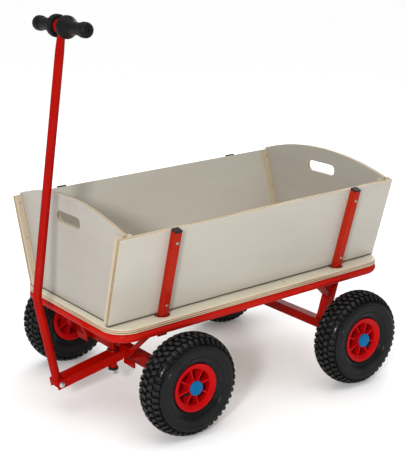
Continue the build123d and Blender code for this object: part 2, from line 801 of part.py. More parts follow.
# Sides: leaning boards on two stakes each, with battens that make slots for the end boards
batten_places = [
    end * (side_length / 2 - batten_depth / 2 - row * (batten_depth + slot_width))
    for end in (1, -1)
    for row in (0, 1)
]
screw_reach = stake_size + board_thickness / 2
for name, side in (("left", 1), ("right", -1)):
    screw_planes = [
        side_plane(side, x, stake_size, up)
        for x in (front_stake_x, rear_stake_x)
        for up in (screw_lower, screw_upper)
    ]

    with BuildPart() as side_board:
        with BuildSketch(side_plane(side)):
            Rectangle(side_length, side_height, align=(Align.CENTER, Align.MIN))
        extrude(amount=-board_thickness)
        with BuildSketch(*screw_planes):
            Circle(screw_radius)
        extrude(amount=-screw_reach, mode=Mode.SUBTRACT)
    finish(side_board, f"{name}_side_board")

    with BuildPart() as stakes:
        with BuildSketch(*[stake_plane(side, x, -stake_depth) for x in (front_stake_x, rear_stake_x)]):
            RectangleRounded(stake_size, stake_size, stake_wall)
            Rectangle(stake_size - 2 * stake_wall, stake_size - 2 * stake_wall, mode=Mode.SUBTRACT)
        extrude(amount=stake_depth + stake_top)
        with BuildSketch(*screw_planes):
            Circle(screw_radius)
        extrude(amount=-screw_reach, mode=Mode.SUBTRACT)
    finish(stakes, f"{name}_stakes")

    with BuildPart() as stake_caps:
        cap_planes = [stake_plane(side, x, stake_top) for x in (front_stake_x, rear_stake_x)]
        with BuildSketch(*cap_planes):
            RectangleRounded(stake_size, stake_size, stake_wall)
        extrude(amount=stake_cap_height)
        with BuildSketch(*cap_planes):
            Rectangle(stake_size - 2 * stake_wall, stake_size - 2 * stake_wall)
        extrude(amount=-stake_cap_plug)
    finish(stake_caps, f"{name}_stake_caps")

    with BuildPart() as stake_screws:
        with BuildSketch(*screw_planes):
            Circle(screw_head_radius)
        extrude(amount=screw_head_height)
        with BuildSketch(*screw_planes):
            Circle(screw_radius)
        extrude(amount=-screw_reach)
    finish(stake_screws, f"{name}_stake_screws")

    with BuildPart() as battens:
        with BuildSketch(*[side_plane(side, x, -board_thickness) for x in batten_places]):
            Rectangle(batten_depth, side_height, align=(Align.CENTER, Align.MIN))
        extrude(amount=-batten_thickness)
    finish(battens, f"{name}_battens")


def board_edge_y(z):
    """Half the width of an end board at a height, just inside the leaning sides."""
    inside = side_foot_y - (board_thickness + slot_clearance) / cos(lean)
    return inside + (z - side_foot_z) * tan(lean)


# End boards: arched boards with a hand hole, standing in the slots between the battens
end_foot = deck_height + end_board_lift
end_shoulder = deck_height + end_shoulder_height
end_board_x = side_length / 2 - batten_depth - slot_width / 2
for name, end in (("front", 1), ("rear", -1)):
    with BuildPart() as end_board:
        with BuildSketch(Plane.YZ.offset(end * end_board_x)):
            with BuildLine():
                Polyline(
                    (board_edge_y(end_shoulder), end_shoulder),
                    (board_edge_y(end_foot), end_foot),
                    (-board_edge_y(end_foot), end_foot),
                    (-board_edge_y(end_shoulder), end_shoulder),
                )
                ThreePointArc(
                    (-board_edge_y(end_shoulder), end_shoulder),
                    (0, end_shoulder + end_arch_rise),
                    (board_edge_y(end_shoulder), end_shoulder),
                )
            make_face()
            with Locations((0, deck_height + hand_hole_centre)):
                RectangleRounded(hand_hole_width, hand_hole_height, hand_hole_radius, mode=Mode.SUBTRACT)
        extrude(amount=board_thickness / 2, both=True)
    finish(end_board, f"{name}_board")
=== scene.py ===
import json
import math

import bmesh
import bpy
from mathutils import Matrix, Vector


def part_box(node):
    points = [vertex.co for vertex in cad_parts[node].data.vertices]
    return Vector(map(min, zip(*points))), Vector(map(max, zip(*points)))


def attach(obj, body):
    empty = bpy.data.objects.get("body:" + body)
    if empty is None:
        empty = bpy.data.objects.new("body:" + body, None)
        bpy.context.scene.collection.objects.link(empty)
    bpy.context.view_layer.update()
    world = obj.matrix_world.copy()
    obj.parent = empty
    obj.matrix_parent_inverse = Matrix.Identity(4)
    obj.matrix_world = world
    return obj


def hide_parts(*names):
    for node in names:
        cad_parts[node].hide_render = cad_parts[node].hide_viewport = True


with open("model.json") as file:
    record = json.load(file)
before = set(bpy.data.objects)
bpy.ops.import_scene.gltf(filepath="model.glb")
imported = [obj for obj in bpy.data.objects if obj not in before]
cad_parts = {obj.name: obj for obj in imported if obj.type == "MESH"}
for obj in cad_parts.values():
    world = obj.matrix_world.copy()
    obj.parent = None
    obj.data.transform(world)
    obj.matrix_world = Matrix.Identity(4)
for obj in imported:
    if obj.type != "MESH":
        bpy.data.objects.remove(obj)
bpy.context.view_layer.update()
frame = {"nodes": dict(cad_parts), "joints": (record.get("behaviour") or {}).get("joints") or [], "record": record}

nodes = frame["nodes"]
joints = {joint["name"]: joint for joint in frame["joints"]}
mm = 0.001
scene = bpy.context.scene

# the wagon stands nose down, so its own axes come from the deck's top face
deckTop = next(mount for mount in frame["record"]["mounts"] if mount["name"] == "deck_top")
deckUp = Vector(deckTop["axis"])
wagonLeft = Vector((0, 1, 0))
wagonAhead = wagonLeft.cross(deckUp)


def placeFrom(xAxis, yAxis, zAxis, origin):
    place = Matrix((xAxis, yAxis, zAxis)).transposed().to_4x4()
    place.translation = origin
    return place


# x ahead, y left, z above the deck
deckPlace = placeFrom(wagonAhead, wagonLeft, deckUp, Vector(deckTop["pos_m"]))


# small helpers for node trees

def addNode(tree, kind, inputs=None, **settings):
    node = tree.nodes.new(kind)
    for name, value in settings.items():
        setattr(node, name, value)
    for key, value in (inputs or {}).items():
        if isinstance(value, bpy.types.NodeSocket):
            tree.links.new(value, node.inputs[key])
        else:
            node.inputs[key].default_value = value
    return node


def startMaterial(name, **constants):
    material = bpy.data.materials.new(name)
    material.use_nodes = True
    tree = material.node_tree
    shader = tree.nodes["Principled BSDF"]
    for key, value in constants.items():
        shader.inputs[key].default_value = value
    spot = tree.nodes.new("ShaderNodeTexCoord")
    return material, tree, shader, spot.outputs["Object"]


def noiseOn(tree, spot, scale, detail=3.0, stretch=None, rough=0.5):
    if stretch:
        spot = addNode(tree, "ShaderNodeMapping", {"Vector": spot, "Scale": stretch}).outputs[0]
    values = {"Vector": spot, "Scale": scale, "Detail": detail, "Roughness": rough}
    return addNode(tree, "ShaderNodeTexNoise", values).outputs["Fac"]


def spread(tree, value, fromLow, fromHigh, toLow=0.0, toHigh=1.0):
    values = {"Value": value, "From Min": fromLow, "From Max": fromHigh, "To Min": toLow, "To Max": toHigh}
    return addNode(tree, "ShaderNodeMapRange", values).outputs[0]


def patches(tree, spot, scale, detail, low=0.0, high=1.0):  # soft patches, from one value to another
    return spread(tree, noiseOn(tree, spot, scale, detail), 0.3, 0.7, low, high)


def maths(tree, kind, first, second=0.0):
    return addNode(tree, "ShaderNodeMath", {0: first, 1: second}, operation=kind).outputs[0]


def mixColours(tree, factor, first, second, how="MIX"):
    values = {0: factor, 6: first, 7: second}
    return addNode(tree, "ShaderNodeMix", values, data_type="RGBA", blend_type=how).outputs[2]


def bumpFrom(tree, height, strength, distance, normal=None):
    values = {"Height": height, "Strength": strength, "Distance": distance}
    if normal:
        values["Normal"] = normal
    return addNode(tree, "ShaderNodeBump", values).outputs[0]


def softEdge(tree, width):
    return addNode(tree, "ShaderNodeBevel", {"Radius": width}, samples=4).outputs[0]


def wire(tree, shader, **links):
    for key, socket in links.items():
        tree.links.new(socket, shader.inputs[key.replace("_", " ")])


# finishes

redCoat = {
    "deep": (0.310, 0.0022, 0.0006, 1),
    "bright": (0.380, 0.0040, 0.0010, 1),
    "dust": (0.42, 0.016, 0.010, 1),
    "clouds": 7,  # patches, specks and so on are counted per metre
    "specks": 190,
    "rough": (0.26, 0.38),
    "dull": 24,
    "peel": 620,  # orange peel of the powder coat
    "peelDepth": 0.15 * mm,
    "edge": 0.9 * mm,
    "gloss": {"Coat Weight": 0.14, "Coat Roughness": 0.04, "Specular IOR Level": 0.0},
    "litAndShadedCopies": {  # painted light: lit and shaded copies of the one red paint, brighter on the rail, darker on the beams, post and drawbar, with a painted sheen added in green and blue on the stakes and rail
        "redCoat": (1, 1, 1),
        "sheenStakeCoat": (1, 5.0, 7),
        "litRailCoat": (1.22, 3.2, 6),
        "shadedBeamCoat": (0.74, 0.74, 0.74),
        "shadedDrawbarCoat": (0.86, 0.86, 0.86),
    },
}


def inLightShare(colour, lightShare):
    return (*(value * share for value, share in zip(colour, lightShare)), 1)


def redCoatFinish(name):
    lightShare = redCoat["litAndShadedCopies"][name]
    material, tree, shader, spot = startMaterial(name, **redCoat["gloss"])
    cloud = spread(tree, noiseOn(tree, spot, redCoat["clouds"], 4), 0.32, 0.68)
    colour = mixColours(tree, cloud, inLightShare(redCoat["deep"], lightShare), inLightShare(redCoat["bright"], lightShare))
    specks = spread(tree, noiseOn(tree, spot, redCoat["specks"], 5, rough=0.7), 0.66, 0.78)
    colour = mixColours(tree, specks, colour, redCoat["dust"])
    rough = spread(tree, noiseOn(tree, spot, redCoat["dull"], 4), 0.25, 0.75, *redCoat["rough"])
    peel = noiseOn(tree, spot, redCoat["peel"], 2)
    normal = bumpFrom(tree, peel, 0.22, redCoat["peelDepth"], softEdge(tree, redCoat["edge"]))
    wire(tree, shader, Base_Color=colour, Roughness=rough, Normal=normal, Coat_Normal=normal)
    return material


mouldings = {
    "redPlastic": {
        "low": (0.38, 0.0014, 0.0026, 1),
        "high": (0.45, 0.0026, 0.0042, 1),
        "gleam": (1.0, 0.45, 0.45, 1),
        "rough": (0.26, 0.38),
        "grain": 900,
    },
    "bluePlastic": {
        "low": (0.0016, 0.092, 0.235, 1),
        "high": (0.0028, 0.112, 0.29, 1),
        "gleam": (0.4, 0.75, 1.0, 1),
        "rough": (0.24, 0.36),
        "grain": 900,
    },
    "blackPlastic": {
        "low": (0.008, 0.008, 0.009, 1),
        "high": (0.016, 0.016, 0.017, 1),
        "gleam": (1, 1, 1, 1),
        "rough": (0.24, 0.38),
        "grain": 1100,
    },
    "gripRubber": {
        "low": (0.0035, 0.0035, 0.0038, 1),
        "high": (0.007, 0.007, 0.0074, 1),
        "gleam": (1, 1, 1, 1),
        "rough": (0.42, 0.56),
        "grain": 1500,
    },
    "bushPlastic": {
        "low": (0.60, 0.58, 0.52, 1),
        "high": (0.72, 0.70, 0.64, 1),
        "gleam": (1, 1, 1, 1),
        "rough": (0.36, 0.50),
        "grain": 800,
    },
}
mouldedSkin = {"specular": 0.10, "clouds": 16, "dull": 60, "grainDepth": 0.12 * mm, "edge": 0.8 * mm}


def mouldedFinish(name):
    finish = mouldings[name]
    gloss = {"Specular IOR Level": mouldedSkin["specular"], "Specular Tint": finish["gleam"]}
    material, tree, shader, spot = startMaterial(name, **gloss)
    cloud = patches(tree, spot, mouldedSkin["clouds"], 5)
    colour = mixColours(tree, cloud, finish["low"], finish["high"])
    rough = patches(tree, spot, mouldedSkin["dull"], 4, *finish["rough"])
    grain = noiseOn(tree, spot, finish["grain"], 3, rough=0.6)
    normal = bumpFrom(tree, grain, 0.25, mouldedSkin["grainDepth"], softEdge(tree, mouldedSkin["edge"]))
    wire(tree, shader, Base_Color=colour, Roughness=rough, Normal=normal)
    return material


tyreFinish = {
    "low": (0.0032, 0.0033, 0.0034, 1),
    "high": (0.0068, 0.0068, 0.0070, 1),
    "bloom": (0.0135, 0.0132, 0.0128, 1),  # pale bloom that fresh rubber has in patches
    "paintedTopLight": (0.0270, 0.0270, 0.0272, 1),  # tops of the tread blocks, painted paler: painted highlight
    "rough": (0.20, 0.42),
    "clouds": 20,
    "blooms": 75,
    "topLightPatches": 130,
    "dull": 45,
    "grain": 1300,
    "grainDepth": 0.15 * mm,
    "edge": 0.7 * mm,
    "gloss": {"Specular IOR Level": 0.0, "Coat Weight": 0.32, "Coat Roughness": 0.20},
}


def tyreRubberFinish():
    material, tree, shader, spot = startMaterial("tyreRubber", **tyreFinish["gloss"])
    cloud = patches(tree, spot, tyreFinish["clouds"], 5)
    colour = mixColours(tree, cloud, tyreFinish["low"], tyreFinish["high"])
    bloom = spread(tree, noiseOn(tree, spot, tyreFinish["blooms"], 6, rough=0.65), 0.58, 0.82, 0.0, 0.7)
    colour = mixColours(tree, bloom, colour, tyreFinish["bloom"])
    # painted highlight: the tops of the tread blocks are painted paler, in patches, and less so down the shoulder
    litTops = addNode(tree, "ShaderNodeAttribute", attribute_name="blockTopLight").outputs["Fac"]
    topLightPatches = patches(tree, spot, tyreFinish["topLightPatches"], 4, 0.3, 1.0)
    colour = mixColours(tree, maths(tree, "MULTIPLY", litTops, topLightPatches), colour, tyreFinish["paintedTopLight"])
    rough = patches(tree, spot, tyreFinish["dull"], 4, *tyreFinish["rough"])
    grain = noiseOn(tree, spot, tyreFinish["grain"], 4, rough=0.65)
    normal = bumpFrom(tree, grain, 0.3, tyreFinish["grainDepth"], softEdge(tree, tyreFinish["edge"]))
    wire(tree, shader, Base_Color=colour, Roughness=rough, Normal=normal, Coat_Normal=normal)
    return material


platings = {
    "zincPlate": {
        "plain": (0.66, 0.66, 0.65, 1),
        "tinted": (0.58, 0.60, 0.66, 1),
        "stained": (0.40, 0.39, 0.36, 1),
    },
    "sprayedPlate": {  # paint got onto it
        "plain": (0.30, 0.030, 0.024, 1),
        "tinted": (0.25, 0.050, 0.040, 1),
        "stained": (0.12, 0.03, 0.02, 1),
    },
    "yellowPlate": {
        "plain": (0.36, 0.31, 0.22, 1),
        "tinted": (0.33, 0.32, 0.28, 1),
        "stained": (0.17, 0.13, 0.08, 1),
    },
}
platedSkin = {"tints": 90, "stains": 260, "rough": (0.22, 0.42), "dull": 300,
              "grain": 1500, "grainDepth": 0.06 * mm}


def platedFinish(name):
    plating = platings[name]
    material, tree, shader, spot = startMaterial(name, Metallic=1.0)
    tint = spread(tree, noiseOn(tree, spot, platedSkin["tints"], 4), 0.35, 0.65)
    colour = mixColours(tree, tint, plating["plain"], plating["tinted"])
    stain = spread(tree, noiseOn(tree, spot, platedSkin["stains"], 5, rough=0.7), 0.55, 0.8, 0.0, 0.8)
    colour = mixColours(tree, stain, colour, plating["stained"])
    rough = patches(tree, spot, platedSkin["dull"], 4, *platedSkin["rough"])
    grain = noiseOn(tree, spot, platedSkin["grain"], 3)
    normal = bumpFrom(tree, grain, 0.2, platedSkin["grainDepth"])
    wire(tree, shader, Base_Color=colour, Roughness=rough, Normal=normal)
    return material


plywood = {
    "pale": (0.505, 0.480, 0.425, 1),
    "warm": (0.465, 0.432, 0.370, 1),
    "streak": (0.40, 0.355, 0.285, 1),
    "edgePale": (0.56, 0.475, 0.330, 1),
    "edgeWarm": (0.45, 0.340, 0.200, 1),
    "edgeLine": (0.11, 0.060, 0.030, 1),  # cross-grain layers at the edges
    "cutEnd": (0.77, 0.70, 0.53, 1),  # darkens the ends of a side, cut across the grain
    "footShade": (0.020, 0.014, 0.009, 1),
    "footHeight": (3.0 * mm, 4.4 * mm),  # painted shade along the foot of a board, where it stands above the deck
    "footShare": 0.92,
    "layer": 5 * mm,
    "firstLine": 3.5 * mm,
    "clouds": (2.2, 9, 9),  # per metre along, across and through the grain
    "streaks": (3.5, 120, 120),
    "streakShare": 0.20,
    "streakDepth": 0.12 * mm,
    "pores": (55, 1100, 1100),
    "poreShare": 0.22,
    "poreDepth": 0.10 * mm,
    "breaks": (7, 7, 200),  # where the lines at the edges fade
    "wavers": 25,
    "fibres": 420,
    "rough": (0.42, 0.56),
    "dull": 30,
    "varnish": {"IOR": 1.45, "Coat Weight": 0.12, "Coat Roughness": 0.3},
}


def facing(tree, place, axis):  # 1 where a surface faces along an axis of the place, either way
    normal = tree.nodes.new("ShaderNodeTexCoord").outputs["Normal"]
    values = {0: normal, 1: place.to_3x3().col[axis]}
    turned = addNode(tree, "ShaderNodeVectorMath", values, operation="DOT_PRODUCT").outputs["Value"]
    return spread(tree, maths(tree, "ABSOLUTE", turned), 0.55, 0.75)


def plywoodEdge(tree, grain, through):  # pale layers with dark cross-grain lines between them
    waver = spread(tree, noiseOn(tree, grain, plywood["wavers"], 3), 0.0, 1.0, -0.12, 0.12)
    depth = maths(tree, "ADD", through, plywood["firstLine"])
    count = maths(tree, "ADD", maths(tree, "DIVIDE", depth, plywood["layer"]), waver)
    line = spread(tree, maths(tree, "PINGPONG", count, 0.5), 0.17, 0.27, 1.0, 0.0)
    broken = spread(tree, noiseOn(tree, grain, 1, 4, plywood["breaks"]), 0.30, 0.56, 0.15, 1.0)
    fibres = spread(tree, noiseOn(tree, grain, plywood["fibres"], 4), 0.35, 0.75)
    edge = mixColours(tree, fibres, plywood["edgePale"], plywood["edgeWarm"])
    return mixColours(tree, maths(tree, "MULTIPLY", line, broken), edge, plywood["edgeLine"])


# place: x along the grain, y across it, z through the layers
def plywoodFinish(name, place, tone, edgeTone=(1, 1, 1), layered=True, darkEnds=False, shadedFoot=False):
    material, tree, shader, spot = startMaterial(name, **plywood["varnish"])
    settings = {"Vector": spot, "Location": place.translation, "Rotation": place.to_euler()}
    grain = addNode(tree, "ShaderNodeMapping", settings, vector_type="TEXTURE").outputs[0]
    grainAxes = addNode(tree, "ShaderNodeSeparateXYZ", {0: grain}).outputs
    # long soft streaks and fine pores run along the grain
    cloud = spread(tree, noiseOn(tree, grain, 1, 4, plywood["clouds"]), 0.3, 0.7)
    colour = mixColours(tree, cloud, plywood["pale"], plywood["warm"])
    streaks = noiseOn(tree, grain, 1, 6, plywood["streaks"], 0.6)
    streaks = spread(tree, streaks, 0.50, 0.80, 0.0, plywood["streakShare"])
    colour = mixColours(tree, streaks, colour, plywood["streak"])
    pores = noiseOn(tree, grain, 1, 3, plywood["pores"], 0.6)
    pores = spread(tree, pores, 0.60, 0.78, 0.0, plywood["poreShare"])
    colour = mixColours(tree, pores, colour, plywood["streak"])
    colour = mixColours(tree, 1.0, colour, (*tone, 1), "MULTIPLY")
    if layered:
        edge = plywoodEdge(tree, grain, grainAxes[2])
        edge = mixColours(tree, 1.0, edge, (*edgeTone, 1), "MULTIPLY")
        if darkEnds:
            edge = mixColours(tree, facing(tree, place, 0), edge, plywood["cutEnd"], "MULTIPLY")
        colour = mixColours(tree, facing(tree, place, 2), edge, colour)
    # painted shade: a dark band along the foot of the board
    if shadedFoot:
        footShadow = spread(tree, grainAxes[1], *plywood["footHeight"], plywood["footShare"], 0.0)
        colour = mixColours(tree, footShadow, colour, plywood["footShade"])
    rough = patches(tree, grain, plywood["dull"], 4, *plywood["rough"])
    bump = bumpFrom(tree, streaks, 0.25, plywood["streakDepth"])
    bump = bumpFrom(tree, pores, 0.3, plywood["poreDepth"], bump)
    wire(tree, shader, Base_Color=colour, Roughness=rough, Normal=bump)
    return material


redPaint = redCoatFinish("redCoat")
# painted light: the stakes, rail, beams and drawbar get lit and shaded copies of the red paint
sheenStakePaint = redCoatFinish("sheenStakeCoat")
litRailPaint = redCoatFinish("litRailCoat")
shadedBeamPaint = redCoatFinish("shadedBeamCoat")
shadedDrawbarPaint = redCoatFinish("shadedDrawbarCoat")
redPlastic = mouldedFinish("redPlastic")
bluePlastic = mouldedFinish("bluePlastic")
blackPlastic = mouldedFinish("blackPlastic")
gripRubber = mouldedFinish("gripRubber")
bushPlastic = mouldedFinish("bushPlastic")
tyreRubber = tyreRubberFinish()
zinc = platedFinish("zincPlate")
yellowZinc = platedFinish("yellowPlate")
sprayedZinc = platedFinish("sprayedPlate")
print("finishes made")


# boards and where they stand

boards = {
    "sideFoot": 190 * mm,  # outer bottom edge of a side, from the middle
    "sideGap": 2 * mm,  # above the deck
    "endPlace": 419.5 * mm,  # middle of an end board, from the deck's middle
    "edgeRound": 0.9 * mm,
    "edgeAngle": 35,  # edges sharper than this are rounded
    # painted light: the deck is painted lighter, as lit from above, and the end boards darker, as shaded, though
    # all are one plywood
    "litDeckTone": (1.40, 1.37, 1.24),
    "deckEdge": (0.93, 0.83, 0.80),
    "sideTone": (0.92, 0.915, 0.91),
    "battenTone": (0.92, 0.81, 0.64),
    "shadedEndTone": (0.75, 0.735, 0.735),
}
sideNames = {1: "left", -1: "right"}


def sidePlace(side):  # x along the wagon, y up the slope, z outward, on the outer face of a side
    slope = Vector(joints[sideNames[side] + "_side_lift"]["axis"])
    outward = side * slope.cross(wagonAhead)
    foot = deckPlace @ Vector((0, side * boards["sideFoot"], boards["sideGap"]))
    return placeFrom(-side * wagonAhead, slope, outward, foot)


def endPlace(end):  # x across, y up, z ahead, in the middle of an end board
    return placeFrom(wagonLeft, deckUp, wagonAhead, deckPlace @ Vector((end * boards["endPlace"], 0, 0)))


def dress(material, *names):
    for name in names:
        nodes[name].data.materials.clear()
        nodes[name].data.materials.append(material)


def dressBoard(material, name):
    dress(material, name)
    bevel = nodes[name].modifiers.new("softEdge", "BEVEL")
    bevel.width = boards["edgeRound"]
    bevel.segments = 2
    bevel.limit_method = "ANGLE"
    bevel.angle_limit = math.radians(boards["edgeAngle"])


dress(plywoodFinish("deckPly", deckPlace, boards["litDeckTone"], boards["deckEdge"]), "deck_plate")
for side, name in sideNames.items():
    ply = plywoodFinish(name + "SidePly", sidePlace(side), boards["sideTone"],
                        darkEnds=True, shadedFoot=True)
    dressBoard(ply, name + "_side_board")
    uprightGrain = sidePlace(side) @ Matrix.Rotation(math.pi / 2, 4, "Z")
    wood = plywoodFinish(name + "BattenWood", uprightGrain, boards["battenTone"], layered=False)
    dressBoard(wood, name + "_battens")
for end, name in ((1, "front"), (-1, "rear")):
    ply = plywoodFinish(name + "Ply", endPlace(end), boards["shadedEndTone"], shadedFoot=True)
    dressBoard(ply, name + "_board")
print("boards dressed")


# painted steel, plastic and plated pieces that keep their own shape

dress(litRailPaint, "frame_ring")
dress(redPaint, "front_cross_tube", "rear_cross_tube", "front_sockets", "rear_legs", "rear_braces",
      "drawbar_channel", "steering_sleeve")
dress(sheenStakePaint, "left_stakes", "right_stakes")
dress(shadedBeamPaint, "front_axle_beam", "rear_axle_beam", "kingpin_post", "post_gussets", "steering_stops")
dress(shadedDrawbarPaint, "drawbar_barrel", "drawbar", "handle_bar")
dress(zinc, "front_axle_rod", "rear_axle_rod", "front_axle_clips", "rear_axle_clips", "kingpin",
      "kingpin_nut", "pivot_bolt", "pivot_nut", "left_stake_screws", "right_stake_screws")
dress(blackPlastic, "kingpin_pad", "left_stake_caps", "right_stake_caps")
dress(sprayedZinc, "kingpin_washer")
dress(gripRubber, "grips")
wheelNames = ("front_left", "front_right", "rear_left", "rear_right")
for wheel in wheelNames:
    dress(tyreRubber, wheel + "_tyre")
    dress(redPlastic, wheel + "_rim")
    dress(bluePlastic, wheel + "_hub_cap")
    dress(bushPlastic, wheel + "_hub_bush")
    dress(blackPlastic, wheel + "_valve")
print("steel, plastic and plated pieces dressed")


# meshes made here

def newObject(name, data):
    item = bpy.data.objects.new(name, data)
    scene.collection.objects.link(item)
    return item


def makePiece(name, mesh, material, body, place=None, smoothAngle=40):
    if place:
        mesh.transform(place)
    mesh.materials.append(material)
    mesh.polygons.foreach_set("use_smooth", [True] * len(mesh.polygons))
    mesh.set_sharp_from_angle(angle=math.radians(smoothAngle))
    piece = newObject(name, mesh)
    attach(piece, body)
    return piece


def meshFrom(bm, name):
    bmesh.ops.recalc_face_normals(bm, faces=bm.faces)
    mesh = bpy.data.meshes.new(name)
    bm.to_mesh(mesh)
    bm.free()
    return mesh


def evenTurns(steps):  # round a circle
    return [2 * math.pi * step / steps for step in range(steps)]


def joinRings(bm, here, there):
    for i in range(len(here)):
        bm.faces.new((here[i - 1], here[i], there[i], there[i - 1]))


def addLathe(bm, profile, steps, place=None):  # turns (radius, height) points about z, closed at radius 0
    place = place or Matrix.Identity(4)
    turns = evenTurns(steps)
    rings = []
    for radius, height in profile:
        if radius < 1e-6:
            rings.append([bm.verts.new(place @ Vector((0, 0, height)))])
            continue
        spots = [Vector((radius * math.cos(turn), radius * math.sin(turn), height)) for turn in turns]
        rings.append([bm.verts.new(place @ spot) for spot in spots])
    for below, above in zip(rings, rings[1:]):
        for step in range(steps):
            after = (step + 1) % steps
            if len(below) == 1:
                bm.faces.new((below[0], above[step], above[after]))
            elif len(above) == 1:
                bm.faces.new((below[step], below[after], above[0]))
            else:
                bm.faces.new((below[step], below[after], above[after], above[step]))
    return rings


def wheelPlace(wheel):  # y outward along the axle, z towards the valve
    hub = Vector(joints[wheel + "_roll"]["pos_m"])
    outward = wagonLeft if wheel.endswith("left") else -wagonLeft
    low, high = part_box(wheel + "_valve")
    toValve = (low + high) / 2 - hub
    toValve = (toValve - outward * toValve.dot(outward)).normalized()
    return placeFrom(outward.cross(toValve), outward, toValve, hub)


# tyres with a block tread

tyreShape = {
    "radius": 130 * mm,
    "crownDrop": 11 * mm,  # from the crown to the shoulders
    "shoulder": 35 * mm,  # half the tread's width
    "bulgeRadius": 90 * mm,
    "bulge": 42.5 * mm,  # half the tyre's width
    "lipRadius": 61 * mm,  # where the rubber leaves the rim
    "lipHalf": 29.5 * mm,
    "seatRadius": 52 * mm,
    "seatHalf": 27 * mm,
    "bead": 7 * mm,
    "wall": 7 * mm,
    "pitches": 44,  # blocks round each row
    "depth": 6.2 * mm,  # of the grooves
    "reach": 43 * mm,  # of the grooves, along the skin from the crown
    "fade": 6 * mm,
    "rings": (59 * mm, 76 * mm, 79.5 * mm, 91 * mm),  # raised rings on the sidewall, along the skin
    "ringHalf": 1.3 * mm,
    "ringHeight": 0.7 * mm,
    "ringStops": (-1.05, -0.8, -0.3, 0.3, 0.8, 1.05),  # across a ring, as shares of its half
    "stops": (0, 6, 12, 18, 24, 30, 36, 40, 44, 46, 48, 50, 52, 54, 62, 66, 70, 85, 95),  # in mm of skin
    "hollow": (0.92, 0.75, 0.6, 0.45, 0.3, 0.15, 0),  # stops of the inside, as shares of the skin
    "pips": (0.3, 1.7, 2.9, 4.4, 5.5),  # moulding pips round the sidewall, in radians
    "pipSpot": 67 * mm,
    "pip": ((1.7 * mm, -0.6 * mm), (1.4 * mm, 0.5 * mm), (0.8 * mm, 0.9 * mm), (0, 0.9 * mm)),
    "pipSides": 10,
    "around": 2,  # faces of a block's top, round the tyre
    "draft": ((0.84, 0.0), (0.97, 0.9 * mm), (1.07, 6.8 * mm)),  # size of a block's outline, and its depth
    "smoothAngle": 32,
}

# corners of a block: share of a pitch round the tyre, and distance along the skin from the crown
# per row, the painted highlight on the block's top at its inner and at its outer end
treadRows = (
    {"shift": 0.54, "across": 2, "topLightEnds": (1, 1),
     "corners": ((-0.36, -7 * mm), (0.16, -8.5 * mm), (0.36, 7 * mm), (-0.16, 8.5 * mm))},
    {"shift": 0.04, "across": 2, "topLightEnds": (1, 0.9),
     "corners": ((-0.18, 11 * mm), (0.42, 10.5 * mm), (0.18, 23.5 * mm), (-0.40, 23.5 * mm))},
    {"shift": 0.54, "across": 4, "topLightEnds": (0.75, 0.1),
     "corners": ((-0.30, 27 * mm), (0.24, 26.5 * mm), (0.29, 44 * mm), (-0.22, 46 * mm))},
)


def arcThrough(first, middle, last, steps):
    (ax, ay), (bx, by), (cx, cy) = first, middle, last
    double = 2 * (ax * (by - cy) + bx * (cy - ay) + cx * (ay - by))
    aa, bb, cc = ax * ax + ay * ay, bx * bx + by * by, cx * cx + cy * cy
    centre = Vector(((aa * (by - cy) + bb * (cy - ay) + cc * (ay - by)) / double,
                     (aa * (cx - bx) + bb * (ax - cx) + cc * (bx - ax)) / double))
    start, end = Vector(first) - centre, Vector(last) - centre
    turn = -start.angle_signed(end)
    return [centre + Matrix.Rotation(turn * step / steps, 2) @ start for step in range(steps + 1)]


def makeSkin():  # half the tyre's outer section, with its length counted from the crown to the lip
    shape = tyreShape
    wallSteps, crownSteps = 60, 80
    shoulder = (shape["radius"] - shape["crownDrop"], shape["shoulder"])
    lip = (shape["lipRadius"], shape["lipHalf"])
    wall = arcThrough(shoulder, (shape["bulgeRadius"], shape["bulge"]), lip, wallSteps)
    crown = arcThrough((shoulder[0], -shoulder[1]), (shape["radius"], 0), shoulder, crownSteps)
    half = crown[crownSteps // 2:] + wall[1:]
    lengths = [0.0]
    for before, after in zip(half, half[1:]):
        lengths.append(lengths[-1] + (after - before).length)
    return half, lengths


skinPoints, skinLengths = makeSkin()


def onSkin(along):  # point of the section at a distance from the crown
    distance = min(abs(along), skinLengths[-1])
    index = next(i for i, length in enumerate(skinLengths) if length >= distance)
    if index == 0:
        spot = skinPoints[0].copy()
    else:
        share = (distance - skinLengths[index - 1]) / (skinLengths[index] - skinLengths[index - 1])
        spot = skinPoints[index - 1].lerp(skinPoints[index], share)
    return Vector((spot.x, math.copysign(spot.y, along)))


def skinPoint(along, drop, angle):  # point of the tyre, sunk below its outer skin
    reach = 3 * mm
    tangent = (onSkin(along + reach) - onSkin(along - reach)).normalized()
    spot = onSkin(along) - drop * Vector((tangent.y, -tangent.x))
    return Vector((spot.x * math.sin(angle), spot.y, spot.x * math.cos(angle)))


def skinDrop(along):  # depth of the bare skin between the blocks, with the sidewall's raised rings
    distance = abs(along)
    fade = min(max((distance - tyreShape["reach"]) / tyreShape["fade"], 0), 1)
    drop = tyreShape["depth"] * (1 - fade * fade * (3 - 2 * fade))
    for ring in tyreShape["rings"]:
        offset = abs(distance - ring) / tyreShape["ringHalf"]
        if offset < 1:
            drop -= tyreShape["ringHeight"] * (1 - offset ** 4)
    return drop


